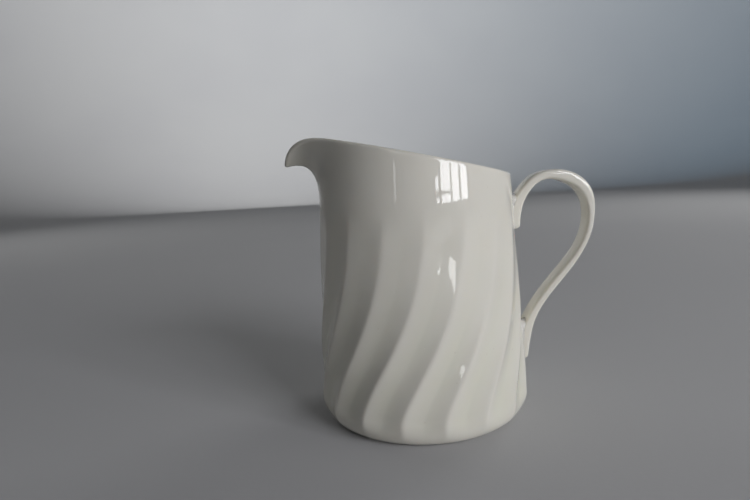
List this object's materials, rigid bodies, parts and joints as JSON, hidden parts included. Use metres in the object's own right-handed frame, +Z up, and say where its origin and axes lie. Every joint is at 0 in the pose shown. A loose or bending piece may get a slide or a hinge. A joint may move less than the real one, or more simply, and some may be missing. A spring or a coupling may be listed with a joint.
{
  "type": "ceramic pitcher",
  "caption": "Glazed ceramic pitcher with swirling fluted walls, a pulled spout on a slanting rim and a strap handle joined at two roots.",
  "frame": {"origin": "centre of the foot ring's resting plane", "axes": "+Z up, +X from the jug's axis to the handle, -X to the spout, +Y across"},
  "size_m": [0.16, 0.1098, 0.1471],
  "materials": {
    "body_glaze": "clear gloss glaze over warm white earthenware",
    "handle_glaze": "clear gloss glaze over warm white earthenware",
    "joint_glaze": "luting slip under clear gloss glaze, slightly pooled"
  },
  "bodies": {
    "root": {"jug_body": "body_glaze", "handle": "handle_glaze", "upper_joint_slip": "joint_glaze", "lower_joint_slip": "joint_glaze"}
  },
  "joints": []
}
